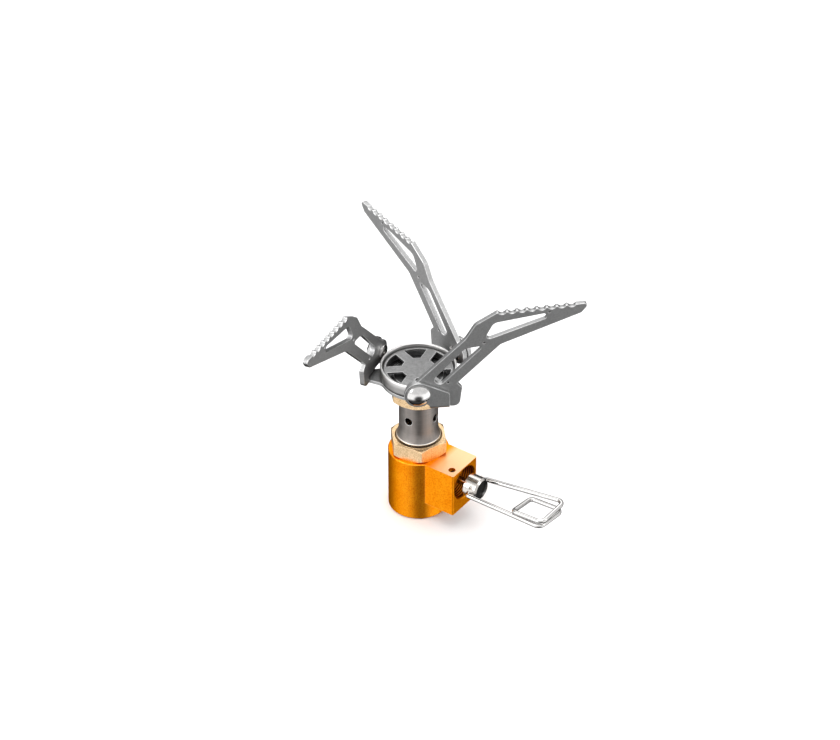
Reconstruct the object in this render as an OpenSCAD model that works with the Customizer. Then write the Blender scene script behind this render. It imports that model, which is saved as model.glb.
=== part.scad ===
// Canister-top backpacking stove with three folding pot supports.
// Axis of the valve body and burner is Z, the canister end is at z = 0, and the
// valve spindle points along +X. All sizes are in millimetres.

/* [Valve body] */
// Diameter of the round body that screws onto the canister
body_d = 23; // [22.5:0.1:24]
// Height of the round body
body_h = 26; // [26:0.1:26.5]
// Distance from the body axis to the end face of the side block
block_reach = 21.3; // [21:0.1:21.8]
// Width of the side block
block_w = 15.5; // [15:0.1:17]
// Height of the underside of the side block
block_z = 7.7; // [6:0.1:9]
// Height of the spindle axis
spindle_z = 18.6; // [18.4:0.1:18.7]

/* [Burner] */
// Outer diameter of the burner cup
cup_d = 28.4; // [27.8:0.1:29.2]
// Height of the rim of the burner cup
rim_z = 64; // [63.8:0.1:64.4]
// Outer diameter of the mixing tube
tube_d = 14.7; // [14.2:0.1:15]
// Corner-to-corner diameter of both hexagonal nuts
nut_d = 22.8; // [22:0.1:23]

/* [Pot supports] */
// Direction of the first hinge axis, measured from the spindle axis
hinge_az = -48.5; // [-52:0.5:-46]
// Thickness of each support plate
support_t = 2; // [1.6:0.1:2]
// Diameter of the rivets that the supports turn on
rivet_d = 4; // [3.4:0.1:4.4]

/* [Handle] */
// Diameter of the handle wire
wire_d = 1.7; // [1.4:0.05:1.7]
// How far the handle is tipped up from level
handle_tilt = 4.5; // [0:0.5:8]

/* [Hidden] */
$fn = 96;
eps = 0.01;

// Shared clearances: located fits, turning fits and faces that stay apart
slip = 0.05;
turn_slip = 0.06;
face_gap = 0.1;

// Edges of the round body and its block
foot_chamfer = 0.5;
shoulder_chamfer = 0.3;
block_corner_r = 0.6;

// Canister thread, 7/16 inch with 28 threads per inch
thread_r = 5.12;
thread_top = 6.2;
relief_r = 5.5;
relief_top = 9.3;
lead_in_r = 5.6;
lead_in_h = 0.5;
seal_groove_r = 5.85;
seal_groove_top = 11.2;
seal_ring_r = 4.85;
seal_wire_r = 0.88;

// Gas passages
inlet_x = 3.2;
inlet_r = 0.7;
filter_r = 1.1;
filter_h = 1;
pin_hole_top = 15;
pin_r = 1.2;
pin_tip_r = 0.95;
pin_tip_z = 6.7;
pin_flange_r = 1.9;
pin_flange_h = 0.8;
chamber_start = 2.2;
chamber_r = 2;
seat_r = 0.6;
outlet_r = 1.2;
outlet_bottom = spindle_z - 1;
jet_hole_r = 2.6;
jet_hole_bottom = 21.6;
jet_bore_r = 1;
jet_hex_r = 3.9;
jet_hex_z = 27;
jet_hex_h = 3;
jet_neck_r = 2.4;
jet_neck_h = 3.5;
jet_tip_z = jet_hex_z + jet_hex_h + jet_neck_h;
jet_tip_r = 1.1;
jet_tip_h = 1.5;
orifice_r = 0.16;
nut_socket_r = 7;
nut_socket_bottom = 22.5;

// Side bore
bore_start = 11;
bore_r = 6.45;
bore_thread_r = 6.8;
bore_pitch = 0.9;
bore_thread_start = 15.6;
bore_mouth_r = 6.95;
bore_mouth_l = 0.5;
bore_thread_end_gap = 0.8;
lock_hole_x = 18.45;
lock_hole_y = -4.45;
lock_hole_r = 1.35;

// Spindle and knob
needle_tip_x = 1.2;
needle_tip_r = 0.25;
needle_base_x = 2.2;
needle_base_r = 0.52;
neck_x = 3.6;
neck_r = 1.2;
stem_r = 1.5;
collar_r = 1.93;
collar_start = 4.8;
collar_end = 9.9;
groove_start = 8.6;
groove_w = 1;
groove_r = 1;
stem_seal_wire_r = 0.45;
knob_start = 23;
knob_end = 29;
knob_r = 4.5;
knob_chamfer = 0.7;
knob_recess_r = 3.5;
knob_recess_h = 0.8;
stem_end = 27.4;
handle_x = 26;
handle_hole_depth = 2.9;
knob_pin_x = 26.5;
knob_pin_dz = 2.3;
knob_pin_r = 0.8;
gland_len = 3.9;
gland_slot_w = 1.8;
gland_slot_depth = 0.9;

// Nuts and mixing tube
nut_h = 6;
nut_chamfer = 1.1;
nut_face_r = 10;
recess_r = 8.9;
recess_h = 1.2;
lower_nut_bore_r = 4.4;
upper_nut_z = 50.5;
upper_nut_h = 6.2;
collar_nut_r = 9.3;
tube_r = tube_d / 2;
tube_wall = 0.6;
tube_lip_z = 32.9;
tube_lip_r = 8.3;
tube_lip_h = 0.5;
tube_neck_r = 7.7;
tube_rim_w = 0.9;
tube_rim_h = 0.4;
flare_h = 4.6;
air_hole_z = 42.3;
air_hole_r = 1.55;
air_hole_az = 4.5;

// Burner head
plate_t = 1.4;
plate_z = 57.25;
plate_top = plate_z + plate_t;
hub_r = 14;
head_hole_r = tube_r + slip;
cup_r = cup_d / 2;
cup_floor_t = 0.8;
cup_floor = plate_top + cup_floor_t;
cup_lip_r = cup_r - 0.85;
cup_bore_r = cup_r - 1.2;
top_z = 62.5;
top_t = 0.8;
top_r = cup_bore_r - slip;
window_in_r = 6.3;
window_out_r = 12;
spoke_w = 3.9;
diffuser_r = 10.4;
diffuser_z = cup_floor + 0.55;
diffuser_bore_r = tube_r + 1.1;
diffuser_step_r = tube_r + 1.9;
diffuser_mouth_r = tube_r - 2.2;
diffuser_step_h = 0.35;

// Hinges: the supports stand just inside the upright ears of the bracket
hinges = 3;
support_in = 15.6;
support_out = support_in + support_t;
ear_in = support_out + face_gap;
ear_out = ear_in + plate_t;
pivot_u = -1.9;
pivot_z = 64;
arm_left = 2.2;
arm_right = 9.45;
arm_fillet = 4;
bend_r = plate_t + 0.2;
ear_lobe_r = 5.2;
lobe_r = 4.6;
rivet_r = rivet_d / 2;
rivet_head_r = 4.15;
rivet_head_h = 2.1;
rivet_rim_h = 0.5;
rivet_roll_r = 2.9;
rivet_roll_h = 0.8;
rivet_dimple_r = 1.3;

// Outline of a pot support around its pivot: [outward, up, corner radius].
// It starts and ends on the round lobe that the rivet passes through.
lobe_top = 97.5;
lobe_foot = 306.4;
rest_start = [28, 33.1];
rest_end = [61.3, 35.2];
support_outline = [
    [lobe_r * cos(lobe_top), lobe_r * sin(lobe_top), 0],
    [16.9, 22.4, 6],
    [20.3, 28.3, 4],
    [rest_start[0], rest_start[1], 1.2],
    [rest_end[0], rest_end[1], 1],
    [58.4, 31.3, 1.2],
    [29.6, 19.5, 4],
    [14.1, 3.4, 0.3],
    [16, 1.2, 0.5],
    [15.1, -6.7, 2.4],
    [arm_right - pivot_u + face_gap, -6.7, 0.6],
    [arm_right - pivot_u + face_gap, lobe_r * sin(lobe_foot), 0.3],
    [lobe_r * cos(lobe_foot), lobe_r * sin(lobe_foot), 0]
];
upper_window = [
    [45.8, 31.9, 1],
    [27, 28.8, 3],
    [23.3, 21.2, 1.2],
    [45.8, 29.6, 1]
];
lower_window = [
    [16.9, 18.4, 3],
    [23.7, 19.3, 0.7],
    [8, 2.7, 1.7],
    [5.2, 5.3, 1.7]
];
// Small holes left where the cutting of each window began
pierce_holes = [[46.8, 32.3], [23.6, 20.6], [10.8, 3.9]];
pierce_r = 0.4;
notches = 8;
notch_start = 29.9;
notch_step = 3.55;
notch_r = 1.5;
notch_lift = 0.6;
edge_rise = (rest_end[1] - rest_start[1]) / (rest_end[0] - rest_start[0]);

handle_pin_in = 2;

// Route of the handle wire from one pivot hole to the other:
// [outward, across, up, corner radius]
handle_route = [
    [0, handle_pin_in, 0, 0],
    [0, 5.9, 0, 1.2],
    [34.7, 7.5, 1.5, 2.6],
    [34.2, -6.8, 1, 2.6],
    [21.2, -6.5, 1, 1.5],
    [21.2, 5.6, -0.95, 1.5],
    [34.8, 5.9, -1.45, 2.4],
    [33.3, -7, -1.3, 2.6],
    [0, -5.9, 0, 1.2],
    [0, -handle_pin_in, 0, 0]
];
wire_r = wire_d / 2;
wire_sides = 16;
wire_arc_steps = 5;

// ---- outline helpers ----

function unit(v) = v / norm(v);

// Points of the arc of radius r that rounds corner p between points a and b
function corner_arc(p, a, b, r, steps) =
    let (
        ua = unit(a - p),
        ub = unit(b - p),
        half = acos(ua * ub) / 2,
        c = p + unit(ua + ub) * r / sin(half),
        s = unit(p + ua * r / tan(half) - c),
        e = unit(p + ub * r / tan(half) - c),
        w = unit(e - s * (s * e)),
        sweep = 180 - 2 * half
    )
    [for (k = [0 : steps]) c + r * (s * cos(k * sweep / steps) + w * sin(k * sweep / steps))];

function flat(p) = [p[0], p[1]];
function solid(p) = [p[0], p[1], p[2]];

// Closed outline with a rounded corner wherever the radius isn't zero
function rounded(outline) =
    let (n = len(outline), steps = 6)
    [for (i = [0 : n - 1])
        let (p = outline[i], a = outline[(i + n - 1) % n], b = outline[(i + 1) % n])
        each (p[2] == 0 ? [flat(p)] : corner_arc(flat(p), flat(a), flat(b), p[2], steps))];

// Open route in space with a rounded corner wherever the radius isn't zero
function rounded_route(route) =
    [for (i = [0 : len(route) - 1])
        let (p = route[i])
        each (p[3] == 0 ? [solid(p)]
            : corner_arc(solid(p), solid(route[i - 1]), solid(route[i + 1]), p[3], wire_arc_steps))];

function directions(route) =
    let (last = len(route) - 1)
    [for (i = [0 : last]) unit(route[min(i + 1, last)] - route[max(i - 1, 0)])];

// Side vectors carried along the route without twisting
function side_vectors(dirs, i = 0, side = [0, 0, 1]) =
    i == len(dirs) ? [] :
    let (next = unit(side - dirs[i] * (side * dirs[i])))
    concat([next], side_vectors(dirs, i + 1, next));

// Round wire of radius r swept along a route of points
module wire(route, r) {
    dirs = directions(route);
    side = side_vectors(dirs);
    n = len(route);
    points = [for (i = [0 : n - 1], k = [0 : wire_sides - 1])
        let (a = 360 * k / wire_sides)
        route[i] + r * (cos(a) * side[i] + sin(a) * cross(dirs[i], side[i]))];
    walls = [for (i = [0 : n - 2], k = [0 : wire_sides - 1])
        let (j = (k + 1) % wire_sides)
        [i * wire_sides + k, (i + 1) * wire_sides + k, (i + 1) * wire_sides + j, i * wire_sides + j]];
    first_cap = [[for (k = [0 : wire_sides - 1]) k]];
    last_cap = [[for (k = [wire_sides - 1 : -1 : 0]) (n - 1) * wire_sides + k]];
    polyhedron(points, concat(walls, first_cap, last_cap), convexity = 8);
}

// ---- placing helpers ----

// Lays a shape drawn along Z onto the spindle axis, starting at x
module along_spindle(x) {
    translate([x, 0, spindle_z]) rotate([0, 90, 0]) children();
}

// Stands a flat shape in a hinge plane: its X runs along the support, its Y is
// up, and its origin is the pivot at the given distance from the stove's axis
module at_hinge(i, distance) {
    rotate([0, 0, hinge_az + i * 360 / hinges])
        translate([distance, pivot_u, pivot_z])
            rotate([90, 0, 90]) children();
}

module o_ring(ring_r, wire_r) {
    rotate_extrude() translate([ring_r, 0]) circle(r = wire_r, $fn = 32);
}

// ---- valve body and its inner pieces ----

module body_shell() {
    rotate_extrude() polygon([
        [0, 0], [body_d / 2 - foot_chamfer, 0], [body_d / 2, foot_chamfer],
        [body_d / 2, body_h - shoulder_chamfer], [body_d / 2 - shoulder_chamfer, body_h], [0, body_h]
    ]);
    translate([0, 0, block_z]) linear_extrude(body_h - block_z) polygon(rounded([
        [0, -block_w / 2, 0], [block_reach, -block_w / 2, block_corner_r],
        [block_reach, block_w / 2, block_corner_r], [0, block_w / 2, 0]
    ]));
}

// Socket for the canister valve, from below
module canister_socket() {
    rotate_extrude() polygon([
        [0, -1], [lead_in_r, -1], [lead_in_r, 0], [thread_r, lead_in_h],
        [thread_r, thread_top], [relief_r, thread_top + relief_r - thread_r],
        [relief_r, relief_top], [seal_groove_r, relief_top],
        [seal_groove_r, seal_groove_top], [0, seal_groove_top]
    ]);
}

// Stepped bore for the spindle, with thread grooves in its wide outer part
module side_bore() {
    threads = floor((block_reach - bore_thread_end_gap - bore_thread_start) / bore_pitch);
    along_spindle(0) rotate_extrude() polygon(concat(
        [[0, chamber_start], [chamber_r, chamber_start], [chamber_r, bore_start],
            [bore_r, bore_start], [bore_r, bore_thread_start]],
        [for (k = [0 : threads - 1])
            each [[bore_thread_r, bore_thread_start + (k + 0.5) * bore_pitch],
                [bore_r, bore_thread_start + (k + 1) * bore_pitch]]],
        [[bore_r, block_reach - bore_mouth_l], [bore_mouth_r, block_reach],
            [bore_mouth_r, block_reach + 1], [0, block_reach + 1]]
    ));
}

module valve_body() {
    color("darkorange") difference() {
        body_shell();
        canister_socket();
        side_bore();
        cylinder(r = pin_r + slip, h = pin_hole_top);
        translate([inlet_x, 0, seal_groove_top - eps]) cylinder(r = filter_r + slip, h = filter_h + 0.1);
        translate([inlet_x, 0, seal_groove_top]) cylinder(r = inlet_r, h = spindle_z - 1 - seal_groove_top);
        along_spindle(0) cylinder(r = seat_r, h = chamber_start + 0.5);
        translate([0, 0, outlet_bottom]) cylinder(r = outlet_r, h = jet_hole_bottom - outlet_bottom + eps);
        translate([0, 0, jet_hole_bottom]) cylinder(r = jet_hole_r, h = body_h);
        translate([0, 0, nut_socket_bottom]) cylinder(r = nut_socket_r, h = body_h);
        translate([lock_hole_x, lock_hole_y, spindle_z]) cylinder(r = lock_hole_r, h = body_h);
    }
}

module canister_seal() {
    color("dimgray") translate([0, 0, seal_groove_top - seal_wire_r - 0.03])
        o_ring(seal_ring_r, seal_wire_r);
}

// Pin that pushes the canister's valve open as the stove is screwed on
module valve_pin() {
    color("goldenrod") rotate_extrude() polygon([
        [0, pin_tip_z], [pin_tip_r - 0.3, pin_tip_z], [pin_tip_r, pin_tip_z + 0.3],
        [pin_tip_r, seal_groove_top - pin_flange_h - 0.02],
        [pin_flange_r, seal_groove_top - pin_flange_h - 0.02],
        [pin_flange_r, seal_groove_top - 0.02], [pin_r, seal_groove_top - 0.02],
        [pin_r, pin_hole_top - 0.6], [0, pin_hole_top - 0.6]
    ]);
}

module inlet_filter() {
    color("silver") translate([inlet_x, 0, seal_groove_top + 0.05])
        cylinder(r = filter_r, h = filter_h - 0.05);
}

// Nut at the bottom of the side bore that holds the spindle in
module gland_nut() {
    color("goldenrod") difference() {
        along_spindle(bore_start + face_gap) cylinder(r = bore_r - slip, h = gland_len);
        along_spindle(bore_start) cylinder(r = stem_r + turn_slip, h = gland_len + 1);
        translate([bore_start + gland_len - gland_slot_depth, -gland_slot_w / 2, spindle_z - bore_r])
            cube([2, gland_slot_w, 2 * bore_r]);
    }
}

// ---- valve spindle group ----

module valve_spindle() {
    color("silver") difference() {
        along_spindle(0) rotate_extrude() polygon([
            [0, needle_tip_x], [needle_tip_r, needle_tip_x], [needle_base_r, needle_base_x],
            [neck_r, neck_x], [neck_r, collar_start],
            [collar_r, collar_start], [collar_r, groove_start], [groove_r, groove_start],
            [groove_r, groove_start + groove_w], [collar_r, groove_start + groove_w],
            [collar_r, collar_end], [stem_r, collar_end], [stem_r, stem_end], [0, stem_end]
        ]);
        knob_pin_hole(knob_pin_r + 0.02);
    }
}

module stem_seal() {
    color("dimgray") along_spindle(groove_start + groove_w / 2)
        o_ring(groove_r + slip + stem_seal_wire_r, stem_seal_wire_r);
}

module knob_pin_hole(r) {
    translate([knob_pin_x, 0, spindle_z + knob_pin_dz])
        rotate([90, 0, 0]) cylinder(r = r, h = 2 * knob_r, center = true);
}

module knob() {
    color("silver") difference() {
        along_spindle(0) rotate_extrude() polygon([
            [0, knob_start], [knob_r - knob_chamfer, knob_start],
            [knob_r, knob_start + knob_chamfer / 2], [knob_r, knob_end - knob_chamfer],
            [knob_r - knob_chamfer, knob_end], [knob_recess_r, knob_end],
            [knob_recess_r - 0.2, knob_end - knob_recess_h], [0, knob_end - knob_recess_h]
        ]);
        along_spindle(knob_start - 1) cylinder(r = stem_r + 0.01, h = stem_end - knob_start + 1.01);
        knob_pin_hole(knob_pin_r + 0.01);
        for (side = [-1, 1])
            translate([handle_x, side * (knob_r - handle_hole_depth / 2 + 0.5), spindle_z])
                rotate([90, 0, 0]) cylinder(r = wire_r + slip, h = handle_hole_depth + 1, center = true);
    }
}

// Pin across the knob that keys it to the spindle
module knob_pin() {
    pin_length = 2 * sqrt(pow(knob_r, 2) - pow(knob_pin_dz, 2)) - 0.3;
    color("gainsboro") translate([knob_pin_x, 0, spindle_z + knob_pin_dz])
        rotate([90, 0, 0]) cylinder(r = knob_pin_r, h = pin_length, center = true);
}

// Wire handle with one extra square turn at its outer end
module handle() {
    color("gainsboro") translate([handle_x, 0, spindle_z]) rotate([0, -handle_tilt, 0])
        wire(rounded_route(handle_route), wire_r);
}

// ---- jet, nuts and mixing tube ----

module jet() {
    color("goldenrod") difference() {
        union() {
            translate([0, 0, jet_hole_bottom + face_gap])
                cylinder(r = jet_hole_r - slip, h = jet_hex_z - jet_hole_bottom);
            translate([0, 0, jet_hex_z]) cylinder(r = jet_hex_r, h = jet_hex_h, $fn = 6);
            translate([0, 0, jet_hex_z + jet_hex_h]) cylinder(r = jet_neck_r, h = jet_neck_h);
            translate([0, 0, jet_tip_z]) cylinder(r1 = jet_neck_r, r2 = jet_tip_r, h = jet_tip_h);
        }
        translate([0, 0, jet_hole_bottom - 1]) cylinder(r = jet_bore_r, h = jet_tip_z - jet_hole_bottom + 1);
        translate([0, 0, jet_hole_bottom])
            cylinder(r = orifice_r, h = jet_tip_z - jet_hole_bottom + jet_tip_h + 1);
    }
}

// Hexagonal prism with both ends chamfered to a circle
module chamfered_hex(z, h) {
    intersection() {
        translate([0, 0, z]) rotate([0, 0, hinge_az]) cylinder(d = nut_d, h = h, $fn = 6);
        rotate_extrude() polygon([
            [0, z], [nut_face_r, z], [nut_d / 2 + 0.2, z + nut_chamfer + 0.15],
            [nut_d / 2 + 0.2, z + h - nut_chamfer + 0.25], [nut_face_r, z + h], [0, z + h]
        ]);
    }
}

module lower_nut() {
    color("burlywood") difference() {
        union() {
            chamfered_hex(body_h, nut_h);
            translate([0, 0, nut_socket_bottom + 0.1])
                cylinder(r = nut_socket_r - slip, h = body_h - nut_socket_bottom);
        }
        cylinder(r = lower_nut_bore_r, h = body_h + nut_h);
        translate([0, 0, body_h + nut_h]) rotate_extrude() polygon([
            [0, -recess_h], [tube_lip_r, -recess_h], [tube_lip_r, -0.6], [recess_r, 0],
            [recess_r, 1], [0, 1]
        ]);
    }
}

// Thin tube with a rolled foot, four air holes and a swaged top
module mixing_tube() {
    foot_z = body_h + nut_h - recess_h;
    color("rosybrown") difference() {
        rotate_extrude() polygon(concat(
            [[tube_neck_r - tube_wall, foot_z], [tube_neck_r, foot_z],
                [tube_neck_r, tube_lip_z - tube_lip_h], [tube_lip_r, tube_lip_z - tube_lip_h],
                [tube_lip_r, tube_lip_z]],
            [for (k = [1 : 6]) let (t = k / 6)
                [tube_r + (tube_lip_r - tube_r - 0.15) * pow(1 - t, 2), tube_lip_z + flare_h * t]],
            [[tube_r, cup_floor], [tube_r + tube_rim_w, cup_floor],
                [tube_r + tube_rim_w - 0.2, cup_floor + tube_rim_h],
                [tube_r - tube_wall, cup_floor + tube_rim_h], [tube_r - tube_wall, tube_lip_z + flare_h]]
        ));
        for (k = [0 : 3])
            rotate([0, 0, air_hole_az + 90 * k]) translate([0, 0, air_hole_z])
                rotate([0, 90, 0]) cylinder(r = air_hole_r, h = tube_r + 1);
    }
}

module upper_nut() {
    color("burlywood") difference() {
        union() {
            chamfered_hex(upper_nut_z, upper_nut_h);
            translate([0, 0, upper_nut_z + 1]) cylinder(r = collar_nut_r, h = plate_z - upper_nut_z - 1);
        }
        translate([0, 0, upper_nut_z - 1]) cylinder(r = head_hole_r, h = 12);
    }
}

// ---- burner head ----

// Arm outline: outward along the hinge direction, filleted into the hub
module arm_outline() {
    fillet_y = arm_right + arm_fillet;
    fillet_x = sqrt(pow(hub_r + arm_fillet, 2) - pow(fillet_y, 2));
    hub_angle = atan2(fillet_y, fillet_x);
    fillet = [for (k = [0 : 6])
        let (a = 270 + k * (hub_angle - 90) / 6)
        [fillet_x + arm_fillet * cos(a), fillet_y + arm_fillet * sin(a)]];
    polygon(concat(
        [[0, 0], [hub_r - 1, 0], [hub_r + 2.5, arm_left], [ear_out - bend_r, arm_left],
            [ear_out - bend_r, arm_right]],
        fillet
    ));
}

// Quarter bend between the level arm and the upright ear
module arm_bend() {
    translate([ear_out - bend_r, arm_right, plate_z + bend_r]) rotate([90, 0, 0])
        linear_extrude(arm_right - arm_left) intersection() {
            difference() {
                circle(r = bend_r, $fn = 48);
                circle(r = bend_r - plate_t, $fn = 48);
            }
            translate([0, -bend_r]) square(bend_r);
        }
}

module ear_outline() {
    right = arm_right - pivot_u;
    left = arm_left - pivot_u;
    foot = plate_z + bend_r - pivot_z;
    difference() {
        union() {
            circle(r = ear_lobe_r);
            polygon(concat(
                [[0, -1], [left, foot], [right, foot]],
                corner_arc([right, 0.1], [right, foot], [2.4, 4.6], 1.5, 4),
                [[2.4, 4.6]]
            ));
        }
        circle(r = rivet_r + slip);
    }
}

// Three-armed plate whose arms end in upright ears
module arm_bracket() {
    color("darkgray") {
        difference() {
            translate([0, 0, plate_z]) linear_extrude(plate_t) {
                circle(r = hub_r);
                for (i = [0 : hinges - 1])
                    rotate(hinge_az + i * 360 / hinges) arm_outline();
            }
            translate([0, 0, plate_z - 1]) cylinder(r = head_hole_r, h = plate_t + 2);
        }
        for (i = [0 : hinges - 1]) {
            rotate([0, 0, hinge_az + i * 360 / hinges]) arm_bend();
            at_hinge(i, ear_in) linear_extrude(plate_t) ear_outline();
        }
    }
}

module burner_cup() {
    color("gray") rotate_extrude() polygon(rounded([
        [head_hole_r, plate_top, 0], [cup_r, plate_top, 1.1], [cup_r, rim_z, 0.4],
        [cup_lip_r, rim_z, 0.4], [cup_lip_r, top_z - 0.4, 0], [cup_bore_r, top_z - 0.9, 0],
        [cup_bore_r, cup_floor, 0], [head_hole_r, cup_floor, 0]
    ]));
}

// Ring of six openings between straight spokes
module windows() {
    difference() {
        circle(r = window_out_r);
        circle(r = window_in_r);
        for (k = [0 : 2])
            rotate(hinge_az + 30 + 60 * k) square([3 * window_out_r, spoke_w], center = true);
    }
}

module burner_top() {
    color("lightgray") difference() {
        rotate_extrude() polygon(rounded([
            [0, top_z - top_t, 0], [top_r - 0.7, top_z - top_t, 0], [top_r - 0.7, cup_floor, 0],
            [top_r, cup_floor, 0], [top_r, top_z, 0.35], [0, top_z, 0]
        ]));
        translate([0, 0, top_z - top_t - 1]) linear_extrude(top_t + 2) windows();
    }
}

// Stepped ring under the windows that spreads the gas to the edge
module diffuser() {
    color("dimgray") rotate_extrude() polygon([
        [diffuser_bore_r, cup_floor], [diffuser_r, cup_floor], [diffuser_r, diffuser_z],
        [diffuser_step_r, diffuser_z], [diffuser_step_r, diffuser_z + diffuser_step_h],
        [diffuser_mouth_r, diffuser_z + diffuser_step_h], [diffuser_mouth_r, diffuser_z],
        [diffuser_bore_r, diffuser_z]
    ]);
}

// ---- pot supports ----

// Rivet drawn along Z from the rolled inner end to the domed head
module rivet() {
    shank = ear_out - support_in;
    dome_h = rivet_head_h - rivet_rim_h;
    dome_r = (pow(rivet_head_r, 2) + pow(dome_h, 2)) / (2 * dome_h);
    difference() {
        union() {
            cylinder(r = rivet_r, h = shank);
            translate([0, 0, -rivet_roll_h - face_gap]) cylinder(r = rivet_roll_r, h = rivet_roll_h);
            translate([0, 0, -face_gap - eps]) cylinder(r = rivet_r, h = face_gap + 2 * eps);
            translate([0, 0, shank]) cylinder(r = rivet_head_r, h = rivet_rim_h);
            intersection() {
                translate([0, 0, shank + rivet_rim_h - eps]) cylinder(r = rivet_head_r, h = rivet_head_h);
                translate([0, 0, shank + rivet_head_h - dome_r]) sphere(r = dome_r);
            }
        }
        translate([0, 0, -rivet_roll_h - 1]) cylinder(r = rivet_dimple_r, h = 2.2);
    }
}

module rivets() {
    color("gainsboro") for (i = [0 : hinges - 1]) at_hinge(i, support_in) rivet();
}

module support_plate() {
    steps = 14;
    lobe_arc = [for (k = [1 : steps - 1])
        let (a = lobe_foot + k * (lobe_top - lobe_foot) / steps)
        lobe_r * [cos(a), sin(a)]];
    difference() {
        polygon(concat(rounded(support_outline), lobe_arc));
        circle(r = rivet_r + turn_slip);
        polygon(rounded(upper_window));
        polygon(rounded(lower_window));
        for (p = pierce_holes)
            translate(p) circle(r = pierce_r, $fn = 24);
        for (k = [0 : notches - 1]) {
            x = notch_start + k * notch_step;
            translate([x, rest_start[1] + (x - rest_start[0]) * edge_rise + notch_lift])
                circle(r = notch_r, $fn = 24);
        }
    }
}

module pot_support(i) {
    color("slategray") at_hinge(i, support_in) linear_extrude(support_t) support_plate();
}

module pot_support_1() { pot_support(0); }
module pot_support_2() { pot_support(1); }
module pot_support_3() { pot_support(2); }

valve_body();
canister_seal();
valve_pin();
inlet_filter();
gland_nut();
jet();
lower_nut();
mixing_tube();
upper_nut();
arm_bracket();
burner_cup();
diffuser();
burner_top();
rivets();
stem_seal();
valve_spindle();
knob();
knob_pin();
handle();
pot_support_1();
pot_support_2();
pot_support_3();
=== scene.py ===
import math

import bmesh
import bpy
from mathutils import Matrix, Vector


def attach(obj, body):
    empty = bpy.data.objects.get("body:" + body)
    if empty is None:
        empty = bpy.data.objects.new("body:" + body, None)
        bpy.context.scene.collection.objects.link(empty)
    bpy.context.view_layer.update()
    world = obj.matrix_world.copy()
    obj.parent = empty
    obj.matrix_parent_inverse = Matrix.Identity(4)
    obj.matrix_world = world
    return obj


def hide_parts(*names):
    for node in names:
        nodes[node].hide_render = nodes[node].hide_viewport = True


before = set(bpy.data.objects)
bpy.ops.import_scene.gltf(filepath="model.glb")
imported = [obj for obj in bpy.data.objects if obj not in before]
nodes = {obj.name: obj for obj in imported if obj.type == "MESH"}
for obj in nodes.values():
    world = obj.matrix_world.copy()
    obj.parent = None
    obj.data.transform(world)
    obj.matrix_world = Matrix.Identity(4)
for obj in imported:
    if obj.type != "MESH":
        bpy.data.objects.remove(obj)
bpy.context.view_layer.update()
scene = bpy.context.scene
MM = 0.001

# ---------------------------------------------------------------- camera

# Azimuth, where 0 is -Y and 90 is +X, and elevation, in degrees
CAMERA_ANGLE = (35.58, 36.07)
CAMERA_PLACE = (0.4219, -0.5888, 0.5891)
SENSOR_MM = 36
LENS_MM = 104.59


def toward(az, el):
    """Unit vector to the azimuth az and elevation el, in degrees: 0 is -Y, 90 is +X."""
    a, e = math.radians(az), math.radians(el)
    return Vector((math.sin(a) * math.cos(e), -math.cos(a) * math.cos(e), math.sin(e)))


def aim(obj, direction):
    """Turns a camera or light, which looks along its own -Z, to look along the direction."""
    obj.rotation_euler = direction.to_track_quat("-Z", "Y").to_euler()


camera_data = bpy.data.cameras.new("camera")
camera_data.sensor_width = SENSOR_MM
camera_data.lens = LENS_MM
camera_data.clip_start = 0.01
camera_data.clip_end = 50
camera = bpy.data.objects.new("camera", camera_data)
scene.collection.objects.link(camera)
camera.location = CAMERA_PLACE
aim(camera, -toward(*CAMERA_ANGLE))
scene.camera = camera

# ---------------------------------------------------------------- shader helpers

# Cosines of the lean between which an edge fades from the painted highlight to plain
EDGE_LEAN = (0.75, 0.99)
# Values of a noise between which a material goes from one colour or roughness to the other
SHARP_NOISE = (0.36, 0.64)
MEDIUM_NOISE = (0.35, 0.65)
SOFT_NOISE = (0.3, 0.7)


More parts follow.
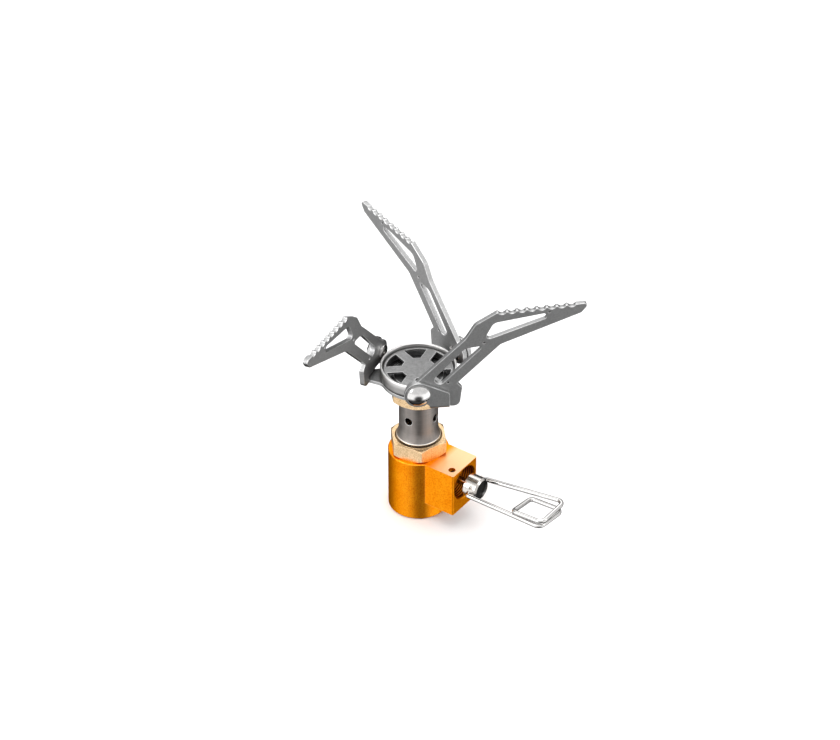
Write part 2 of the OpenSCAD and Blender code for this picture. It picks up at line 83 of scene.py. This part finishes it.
class Shader:
    """A node material built around one Principled BSDF, in object coordinates (metres)."""

    def __init__(self, name, base, metallic, roughness, **sockets):
        self.material = bpy.data.materials.new(name)
        self.material.use_nodes = True
        self.tree = self.material.node_tree
        self.tree.nodes.clear()
        output = self.node("ShaderNodeOutputMaterial")
        self.bsdf = self.node("ShaderNodeBsdfPrincipled")
        self.link(self.bsdf.outputs[0], output.inputs[0])
        self.bsdf.inputs["Base Color"].default_value = (*base, 1)
        self.bsdf.inputs["Metallic"].default_value = metallic
        self.bsdf.inputs["Roughness"].default_value = roughness
        for key, value in sockets.items():
            self.bsdf.inputs[key.replace("_", " ")].default_value = value
        self.coordinates = self.node("ShaderNodeTexCoord").outputs
        self.place = self.coordinates["Object"]
        self.normal = None

    def node(self, kind, **settings):
        made = self.tree.nodes.new(kind)
        for key, value in settings.items():
            setattr(made, key, value)
        return made

    def link(self, source, target):
        self.tree.links.new(source, target)

    def stretched(self, scale):
        made = self.node("ShaderNodeVectorMath", operation="MULTIPLY")
        self.link(self.place, made.inputs[0])
        made.inputs[1].default_value = scale
        return made.outputs[0]

    def axes(self, vector):
        made = self.node("ShaderNodeSeparateXYZ")
        self.link(vector, made.inputs[0])
        return made.outputs

    def noise(self, size_mm, detail, roughness, place=None):
        made = self.node("ShaderNodeTexNoise")
        made.inputs["Scale"].default_value = 1 / (size_mm * MM)
        made.inputs["Detail"].default_value = detail
        made.inputs["Roughness"].default_value = roughness
        self.link(place or self.place, made.inputs["Vector"])
        return made.outputs["Fac"]

    def span(self, value, low, high, to_low=0.0, to_high=1.0):
        made = self.node("ShaderNodeMapRange")
        self.link(value, made.inputs["Value"])
        for key, number in (("From Min", low), ("From Max", high),
                            ("To Min", to_low), ("To Max", to_high)):
            made.inputs[key].default_value = number
        return made.outputs[0]

    def above(self, value, low_mm, high_mm):
        """0 under low_mm and 1 over high_mm."""
        return self.span(value, low_mm * MM, high_mm * MM)

    def below(self, value, low_mm, high_mm):
        """1 under low_mm and 0 over high_mm."""
        return self.span(value, low_mm * MM, high_mm * MM, 1.0, 0.0)

    def math(self, operation, a, b=0):
        made = self.node("ShaderNodeMath", operation=operation)
        for socket, value in zip(made.inputs, (a, b)):
            if isinstance(value, (int, float)):
                socket.default_value = value
            else:
                self.link(value, socket)
        return made.outputs[0]

    def both(self, a, b):
        return self.math("MULTIPLY", a, b)

    def length(self, a, b):
        return self.math("SQRT", self.math("ADD", self.both(a, a), self.both(b, b)))

    def mix(self, amount, a, b):
        made = self.node("ShaderNodeMix", data_type="RGBA")
        sockets = {"Factor": amount, "A": a, "B": b}
        for key, value in sockets.items():
            socket = [s for s in made.inputs if s.name == key and s.enabled][0]
            if isinstance(value, tuple):
                socket.default_value = (*value, 1)
            else:
                self.link(value, socket)
        return [s for s in made.outputs if s.enabled][0]

    def color(self, value):
        self.link(value, self.bsdf.inputs["Base Color"])

    def rough(self, value):
        self.link(value, self.bsdf.inputs["Roughness"])

    def face(self, normal):
        self.normal = normal
        self.link(normal, self.bsdf.inputs["Normal"])

    def bump(self, height, strength, depth_mm):
        made = self.node("ShaderNodeBump")
        made.inputs["Strength"].default_value = strength
        made.inputs["Distance"].default_value = depth_mm * MM
        self.link(height, made.inputs["Height"])
        if self.normal is not None:
            self.link(self.normal, made.inputs["Normal"])
        self.face(made.outputs[0])

    def rolled(self, radius_mm, samples):
        """The normal of a surface whose sharp edges are rolled to this radius."""
        made = self.node("ShaderNodeBevel", samples=samples)
        made.inputs["Radius"].default_value = radius_mm * MM
        return made.outputs[0]

    def edge(self, radius_mm):
        """0 on flats and 1 on outer edges, the mask of the painted edge highlight, from how far a
        rolled normal leans away.
        """
        dot = self.node("ShaderNodeVectorMath", operation="DOT_PRODUCT")
        self.link(self.rolled(radius_mm, 6), dot.inputs[0])
        self.link(self.node("ShaderNodeNewGeometry").outputs["Normal"], dot.inputs[1])
        return self.span(dot.outputs["Value"], *EDGE_LEAN, 1.0, 0.0)


# ---------------------------------------------------------------- materials

# Size of the wide mottling and of the roughness grain, against the sparkle grain
CLOUD_TO_GRAIN = 9
ROUGH_TO_GRAIN = 0.7


def blasted(name, dark, bright, grain_mm, rough, bump, highlight_color=(1.0, 1.0, 1.0), highlight_amount=0.0,
            highlight_mm=0.4, grazing=(1.0, 1.0, 1.0)):
    """Bead-blasted metal: fine mottling, sparkle grain and outer edges painted lighter as a painted
    highlight.
    """
    s = Shader(name, bright, 1.0, sum(rough) / 2, Specular_Tint=(*grazing, 1))
    grain = s.noise(grain_mm, 3, 0.65)
    cloud = s.noise(grain_mm * CLOUD_TO_GRAIN, 2, 0.5)
    mottle = s.math("ADD", s.both(grain, 0.8), s.both(cloud, 0.2))
    color = s.mix(s.span(mottle, *SHARP_NOISE), dark, bright)
    # Outer edges take the highlight colour: a painted highlight
    painted_edge = s.both(s.edge(highlight_mm), s.span(cloud, *SOFT_NOISE, 0.6, 1.0))
    s.shade = s.mix(s.both(painted_edge, highlight_amount), color, highlight_color)
    s.color(s.shade)
    s.rough(s.span(s.noise(grain_mm * ROUGH_TO_GRAIN, 2, 0.5), *SOFT_NOISE, *rough))
    s.bump(grain, bump, 0.03)
    return s


# The valve's side block, in millimetres: height of the bore's axis, where the painted highlight on
# the top face starts and ends along X, and the edges of the threaded bore, painted dark as shade,
# each a soft step
AXIS_Z = 18.6
TOP_HIGHLIGHT_X = (10.0, 13.0)
BORE_WALL = (6.84, 6.88)
BORE_BOTTOM = (10.8, 10.9)
BORE_MOUTH = (20.9, 21.1)
THREAD_DEPTH = (6.48, 6.7)
# Z of the normals between which a face starts to count as facing up
FACES_UP = (0.8, 0.98)


def valve_painted_light(s, top_highlight, root_shade, crest_glint):
    """Paints a highlight on the block's top face, and paints shade in the side bore, near black at
    the thread roots and lighter at the crests as painted glints.
    """
    up = s.axes(s.coordinates["Normal"])[2]
    x, y, z = s.axes(s.place)
    # Painted highlight on the top face
    top = s.both(s.span(up, *FACES_UP), s.above(x, *TOP_HIGHLIGHT_X))
    color = s.mix(top, s.shade, top_highlight)
    radius = s.length(y, s.math("SUBTRACT", z, AXIS_Z * MM))
    inside = s.both(s.below(radius, *BORE_WALL),
                    s.both(s.above(x, *BORE_BOTTOM), s.below(x, *BORE_MOUTH)))
    # Painted shade in the bore, lighter at the thread crests as painted glints
    bore = s.mix(s.above(radius, *THREAD_DEPTH), crest_glint, root_shade)
    s.color(s.mix(inside, color, bore))
    return s


# Painted highlights on the edges and top face, and painted shade in the side bore
orange = valve_painted_light(
    blasted("orange_anodised_metal", dark=(0.76, 0.18, 0.002), bright=(1.0, 0.38, 0.012),
            grain_mm=0.50, rough=(0.34, 0.46), bump=0.4, highlight_color=(1.0, 0.58, 0.20),
            highlight_amount=0.7, grazing=(1.0, 0.62, 0.25)),
    top_highlight=(0.90, 0.55, 0.31), root_shade=(0.05, 0.012, 0.002), crest_glint=(0.55, 0.16, 0.01)).material
# Each highlight colour below is a painted highlight on the outer edges
gold = blasted("gold_anodised_metal", dark=(0.52, 0.35, 0.18), bright=(0.90, 0.66, 0.40),
               grain_mm=0.50, rough=(0.34, 0.44), bump=0.3, highlight_color=(1.0, 0.86, 0.66),
               highlight_amount=0.7).material
plate = blasted("titanium_plate_metal", dark=(0.33, 0.33, 0.33), bright=(0.42, 0.42, 0.42),
                grain_mm=0.6, rough=(0.38, 0.50), bump=0.14, highlight_color=(0.75, 0.75, 0.75),
                highlight_amount=0.5, highlight_mm=0.5).material
# A lighter metal for the bevels, as a painted highlight on the edges
edge_highlight_metal = blasted("titanium_edge_highlight_metal", dark=(0.50, 0.50, 0.50), bright=(0.72, 0.72, 0.72),
               grain_mm=0.8, rough=(0.28, 0.40), bump=0.10).material
disc = blasted("burner_disc_metal", dark=(0.23, 0.23, 0.23), bright=(0.31, 0.31, 0.31),
               grain_mm=0.9, rough=(0.40, 0.52), bump=0.14, highlight_color=(0.80, 0.80, 0.80),
               highlight_amount=0.9, highlight_mm=0.8).material
# Near-black metal for the diffuser
diffuser_dark = blasted("near_black_diffuser_metal", dark=(0.05, 0.05, 0.05), bright=(0.10, 0.10, 0.10),
               grain_mm=0.9, rough=(0.40, 0.52), bump=0.14).material

# How much of the painted highlight colour the rim of a wall and its edges take
RIM_SHARE = 0.7
EDGE_SHARE = 0.8
INSIDE_COLOR = (0.06, 0.06, 0.06)


def turned(name, dark, bright, rough, ring_mm, bump, highlight_color, roll_mm, tint=None,
           dark_inside=None, lip=None, rim=None):
    """Metal turned or drawn around Z: fine rings along the circumference, rolled edges painted
    lighter as a painted highlight, a darker bore, a painted highlight on a lip between two heights,
    and a painted highlight that grows towards a wall's rim."""
    s = Shader(name, bright, 1.0, sum(rough) / 2)
    s.face(s.rolled(roll_mm, 8))
    rings = s.noise(ring_mm, 3, 0.6, s.stretched((0.06, 0.06, 1.0)))
    cloud = s.noise(2.5, 3, 0.5)
    mottle = s.math("ADD", s.both(rings, 0.5), s.both(cloud, 0.5))
    color = s.mix(s.span(mottle, *MEDIUM_NOISE), dark, bright)
    if tint:
        streaks = s.noise(3.5, 2, 0.5, s.stretched((1.0, 1.0, 0.08)))
        color = s.mix(s.span(streaks, 0.38, 0.66, 0.0, 0.6), color, tint)
    x, y, z = s.axes(s.place)
    # The lip band is a painted highlight
    if lip:
        low, high = lip
        band = s.both(s.above(z, low - 0.05, low), s.below(z, high, high + 0.1))
        color = s.mix(band, color, highlight_color)
    # A painted highlight that grows towards the rim
    if rim:
        low, high = rim
        color = s.mix(s.span(z, low * MM, high * MM, 0.0, RIM_SHARE), color, highlight_color)
    if dark_inside:
        bore = s.below(s.length(x, y), dark_inside + 0.02, dark_inside + 0.1)
        color = s.mix(bore, color, INSIDE_COLOR)
    # Outer edges take the highlight colour: a painted highlight
    s.color(s.mix(s.both(s.edge(0.5), EDGE_SHARE), color, highlight_color))
    s.rough(s.span(cloud, *SOFT_NOISE, *rough))
    s.bump(rings, bump, 0.01)
    return s.material


tube = turned("titanium_tube_metal", dark=(0.175, 0.164, 0.154), bright=(0.24, 0.225, 0.212),
              rough=(0.40, 0.48), ring_mm=0.25, bump=0.14, highlight_color=(0.95, 0.92, 0.88),
              roll_mm=0.35, tint=(0.34, 0.30, 0.28), lip=(32.5, 33.05))
cup = turned("burner_cup_metal", dark=(0.28, 0.275, 0.27), bright=(0.36, 0.355, 0.35),
             rough=(0.30, 0.40), ring_mm=0.3, bump=0.12, highlight_color=(0.85, 0.84, 0.83),
             roll_mm=1.0, dark_inside=13.0, rim=(61.6, 63.6))

SMEAR_SHADE = 0.88


def polished(name, base, roughness, bump=0.05):
    """Polished metal with faint smears, and a fine waviness unless bump is 0."""
    s = Shader(name, base, 1.0, roughness)
    smear = s.noise(1.2, 3, 0.6)
    s.color(s.mix(s.span(smear, *SOFT_NOISE), tuple(SMEAR_SHADE * c for c in base), base))
    s.rough(s.span(smear, *SOFT_NOISE, roughness * 0.7, roughness * 1.4))
    if bump:
        s.bump(s.noise(0.25, 2, 0.5), bump, 0.01)
    return s.material


steel = polished("polished_steel_metal", (0.68, 0.67, 0.66), 0.13)
wire_steel = polished("polished_wire_metal", (0.60, 0.59, 0.58), 0.08, bump=0)
brass = polished("brass_metal", (0.62, 0.42, 0.17), 0.25)

# The knob's recessed end face, painted dark as shade, in millimetres: where it starts along X, its
# radius, and its ring, painted darkest
KNOB_END_X = (28.0, 28.1)
KNOB_END_R = (3.75, 3.85)
KNOB_RING_IN = (3.25, 3.35)
KNOB_RING_OUT = (3.5, 3.6)


def knob_finish_and_shade():
    """Turned steel whose recessed end face is painted dark as shade, darkest in a ring."""
    s = Shader("turned_knob_metal", (0.60, 0.57, 0.54), 1.0, 0.2)
    rings = s.noise(0.3, 3, 0.6, s.stretched((1.0, 0.05, 0.05)))
    color = s.mix(s.span(rings, *MEDIUM_NOISE), (0.52, 0.49, 0.46), (0.62, 0.59, 0.56))
    x, y, z = s.axes(s.place)
    radius = s.length(y, s.math("SUBTRACT", z, AXIS_Z * MM))
    # Painted shade on the recessed end face, darkest in the ring
    end = s.both(s.above(x, *KNOB_END_X), s.below(radius, *KNOB_END_R))
    ring = s.both(s.above(radius, *KNOB_RING_IN), s.below(radius, *KNOB_RING_OUT))
    s.color(s.mix(end, color, s.mix(ring, (0.05, 0.048, 0.046), (0.16, 0.155, 0.15))))
    s.rough(s.span(rings, *SOFT_NOISE, 0.16, 0.26))
    return s.material


def rubber_finish():
    """Matte black rubber with a fine grain."""
    s = Shader("seal_rubber_black", (0.02, 0.02, 0.02), 0.0, 0.6)
    grain = s.noise(0.2, 2, 0.5)
    s.rough(s.span(grain, *SOFT_NOISE, 0.5, 0.7))
    s.bump(grain, 0.1, 0.02)
    return s.material


knob_steel = knob_finish_and_shade()
rubber = rubber_finish()

# ---------------------------------------------------------------- CAD nodes

WELD_MM = 0.002
FLAT_ANGLE = math.radians(0.4)
BEVEL_ANGLE = math.radians(30)
CREASE_ANGLE = math.radians(32)


def node_group(name, build):
    group = bpy.data.node_groups.new(name, "GeometryNodeTree")
    group.interface.new_socket("Geometry", in_out="INPUT", socket_type="NodeSocketGeometry")
    group.interface.new_socket("Geometry", in_out="OUTPUT", socket_type="NodeSocketGeometry")
    start = group.nodes.new("NodeGroupInput")
    end = group.nodes.new("NodeGroupOutput")
    group.links.new(build(group, start.outputs[0]), end.inputs[0])
    return group


def shade_smooth(group, geometry, domain):
    made = group.nodes.new("GeometryNodeSetShadeSmooth")
    made.domain = domain
    group.links.new(geometry, made.inputs["Geometry"])
    return made


def welded(group, geometry):
    plain = group.nodes.new("GeometryNodeRemoveAttribute")
    plain.inputs["Name"].default_value = "custom_normal"
    group.links.new(geometry, plain.inputs[0])
    merge = group.nodes.new("GeometryNodeMergeByDistance")
    merge.inputs["Distance"].default_value = WELD_MM * MM
    group.links.new(plain.outputs[0], merge.inputs[0])
    faces = shade_smooth(group, merge.outputs[0], "FACE")
    return shade_smooth(group, faces.outputs[0], "EDGE").outputs[0]


def creased(group, geometry):
    angle = group.nodes.new("GeometryNodeInputMeshEdgeAngle")
    sharp = group.nodes.new("FunctionNodeCompare")
    sharp.data_type = "FLOAT"
    sharp.operation = "GREATER_THAN"
    sharp.inputs[1].default_value = CREASE_ANGLE
    group.links.new(angle.outputs[0], sharp.inputs[0])
    edges = shade_smooth(group, geometry, "EDGE")
    edges.inputs["Shade Smooth"].default_value = False
    group.links.new(sharp.outputs[0], edges.inputs["Selection"])
    return edges.outputs[0]


weld_group = node_group("weld_and_smooth", welded)
crease_group = node_group("crease_by_angle", creased)


def dress(name, material, bevel_mm=0.0, clamp=True, edges=None):
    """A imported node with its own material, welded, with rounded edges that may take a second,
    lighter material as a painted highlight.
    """
    obj = nodes[name]
    obj.data.materials.clear()
    obj.data.materials.append(material)
    if edges:
        obj.data.materials.append(edges)
    weld = obj.modifiers.new("weld", "NODES")
    weld.node_group = weld_group
    flat = obj.modifiers.new("flats", "DECIMATE")
    flat.decimate_type = "DISSOLVE"
    flat.angle_limit = FLAT_ANGLE
    if bevel_mm:
        bevel = obj.modifiers.new("bevel", "BEVEL")
        bevel.width = bevel_mm * MM
        bevel.segments = 2
        bevel.limit_method = "ANGLE"
        bevel.angle_limit = BEVEL_ANGLE
        bevel.use_clamp_overlap = clamp
        if edges:
            bevel.material = 1
    crease = obj.modifiers.new("crease", "NODES")
    crease.node_group = crease_group
    normals = obj.modifiers.new("normals", "WEIGHTED_NORMAL")
    normals.mode = "FACE_AREA"
    normals.keep_sharp = True


# Where edges are given, the bevels take the lighter metal as a painted highlight
dress("valve_body", orange, 0.12)
dress("lower_nut", gold, 0.10)
dress("upper_nut", gold, 0.10)
dress("mixing_tube", tube, 0.14, clamp=False, edges=edge_highlight_metal)
dress("arm_bracket", plate, 0.18, clamp=False, edges=edge_highlight_metal)
dress("burner_cup", cup)
dress("burner_top", disc, 0.12, edges=edge_highlight_metal)
dress("diffuser", diffuser_dark, 0.12, clamp=False, edges=edge_highlight_metal)
dress("rivets", steel)
dress("valve_spindle", steel, 0.05)
dress("knob", knob_steel)
dress("knob_pin", knob_steel)
dress("inlet_filter", steel)
dress("gland_nut", brass, 0.08)
dress("jet", brass, 0.05)
dress("valve_pin", brass, 0.05)
dress("canister_seal", rubber)
dress("stem_seal", rubber)
for i in (1, 2, 3):
    dress(f"pot_support_{i}", plate, 0.22, clamp=False, edges=edge_highlight_metal)

# ---------------------------------------------------------------- wire handle

PIVOT = Vector((26, 0, AXIS_Z))
TILT = math.radians(4.5)
WIRE_R = 0.85
WIRE_SIDES = 28
ARC_STEPS = 12
# The wire's corners, in millimetres from the pivot: out along the handle, across it, above its
# plane, and the radius of the bend there
ROUTE = [
    (0, 2, 0, 0),
    (0, 5.9, 0, 1.2),
    (34.7, 7.5, 1.5, 2.6),
    (34.2, -6.8, 1, 2.6),
    (21.2, -6.5, 1, 1.5),
    (21.2, 5.6, -0.95, 1.5),
    (34.8, 5.9, -1.45, 2.4),
    (33.3, -7, -1.3, 2.6),
    (0, -5.9, 0, 1.2),
    (0, -2, 0, 0),
]


def rounded_path(route):
    """The points of a route whose corners are arcs."""
    points = []
    for i, (x, y, z, radius) in enumerate(route):
        p = Vector((x, y, z))
        if radius == 0:
            points.append(p)
            continue
        back = (Vector(route[i - 1][:3]) - p).normalized()
        ahead = (Vector(route[i + 1][:3]) - p).normalized()
        half = back.angle(ahead) / 2
        centre = p + (back + ahead).normalized() * radius / math.sin(half)
        start = (p + back * radius / math.tan(half) - centre).normalized()
        end = (p + ahead * radius / math.tan(half) - centre).normalized()
        side = (end - start * start.dot(end)).normalized()
        sweep = math.pi - 2 * half
        for k in range(ARC_STEPS + 1):
            a = k * sweep / ARC_STEPS
            points.append(centre + radius * (start * math.cos(a) + side * math.sin(a)))
    return points


def mesh_object(name, bm, material):
    mesh = bpy.data.meshes.new(name)
    bm.to_mesh(mesh)
    bm.free()
    mesh.materials.append(material)
    obj = bpy.data.objects.new(name, mesh)
    scene.collection.objects.link(obj)
    return obj


def sweep_wire(name, path, radius, material):
    """A round wire with flat ends along a path."""
    bm = bmesh.new()
    side = Vector((0, 0, 1))
    rings = []
    for i, p in enumerate(path):
        d = (path[min(i + 1, len(path) - 1)] - path[max(i - 1, 0)]).normalized()
        side = (side - d * side.dot(d)).normalized()
        other = d.cross(side)
        rings.append([bm.verts.new(p + radius * (math.cos(a) * side + math.sin(a) * other))
                      for a in (2 * math.pi * k / WIRE_SIDES for k in range(WIRE_SIDES))])
    for a, b in zip(rings, rings[1:]):
        for k in range(WIRE_SIDES):
            j = (k + 1) % WIRE_SIDES
            bm.faces.new((a[k], b[k], b[j], a[j])).smooth = True
    bm.faces.new(rings[0])
    bm.faces.new(list(reversed(rings[-1])))
    bm.normal_update()
    return mesh_object(name, bm, material)


turn = Matrix.Rotation(-TILT, 4, "Y")
handle_path = [(PIVOT + turn @ p) * MM for p in rounded_path(ROUTE)]
handle = sweep_wire("handle_wire", handle_path, WIRE_R * MM, wire_steel)
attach(handle, "handle")
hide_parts("handle")

# ---------------------------------------------------------------- studio

FLOOR_SIZE = 16.0
# The floor lies this far under the stove, so that the two don't share a plane
FLOOR_GAP = 0.0002
MIDDLE = Vector((0, 0, 0.05))

paper = Shader("floor_paper", (0.76, 0.76, 0.76), 0.0, 0.9).material
floor_mesh = bmesh.new()
bmesh.ops.create_grid(floor_mesh, x_segments=1, y_segments=1, size=FLOOR_SIZE / 2)
floor = mesh_object("floor", floor_mesh, paper)
floor.location = (0, 0, -FLOOR_GAP)
floor.visible_glossy = False


def softbox(name, az, el, distance, size, radiance):
    """A rectangular area light of the given brightness that faces the middle of the stove."""
    away = toward(az, el)
    data = bpy.data.lights.new(name, "AREA")
    data.shape = "RECTANGLE"
    data.size, data.size_y = size
    data.energy = radiance * math.pi * size[0] * size[1]
    obj = bpy.data.objects.new(name, data)
    obj.location = MIDDLE + away * distance
    aim(obj, -away)
    scene.collection.objects.link(obj)


softbox("key", -22, 24, 1.2, (0.9, 0.8), 3.4)
softbox("back", -144, 49, 1.3, (1.6, 0.95), 1.25)
softbox("top", 30, 80, 1.3, (1.0, 1.0), 3.0)
softbox("right", 107, 34, 1.3, (0.6, 0.6), 2.2)

# The studio around the object, as polished and rounded metal shows it: bright all round, with
# darker and brighter regions. Each row has a direction (azimuth and elevation in degrees), the
# cosines of the angle from it between which the region fades in, and the factor on the
# brightness outside the region and at its heart.
REGIONS = [
    (0, 90, -0.25, 0.05, 1.50, 1.0),
    (0, -90, 0.61, 0.84, 1.0, 0.05),
    (-144, -36, 0.1, 0.8, 1.0, 0.02),
    (160, -36, 0.80, 0.97, 1.0, 0.50),
    (105, -36, 0.80, 0.97, 1.0, 1.25),
    (43, -36, 0.82, 0.97, 1.0, 0.72),
    (43, -38, 0.88, 0.98, 1.0, 0.08),
]

world = bpy.data.worlds.new("world")
world.use_nodes = True
scene.world = world
sky = world.node_tree
direction = sky.nodes.new("ShaderNodeTexCoord").outputs["Generated"]


def region(az, el, low, high, to_low, to_high):
    """The factor of one region of the studio, as a smooth step in the cosine from its heart."""
    cosine = sky.nodes.new("ShaderNodeVectorMath")
    cosine.operation = "DOT_PRODUCT"
    cosine.inputs[1].default_value = toward(az, el)
    sky.links.new(direction, cosine.inputs[0])
    step = sky.nodes.new("ShaderNodeMapRange")
    step.interpolation_type = "SMOOTHSTEP"
    sky.links.new(cosine.outputs["Value"], step.inputs["Value"])
    for key, number in (("From Min", low), ("From Max", high),
                        ("To Min", to_low), ("To Max", to_high)):
        step.inputs[key].default_value = number
    return step.outputs[0]


brightness = region(*REGIONS[0])
for row in REGIONS[1:]:
    product = sky.nodes.new("ShaderNodeMath")
    product.operation = "MULTIPLY"
    sky.links.new(brightness, product.inputs[0])
    sky.links.new(region(*row), product.inputs[1])
    brightness = product.outputs[0]
background = sky.nodes["Background"]
sky.links.new(brightness, background.inputs["Strength"])
background.inputs["Color"].default_value = (1, 1, 1, 1)
scene.view_settings.view_transform = "Standard"
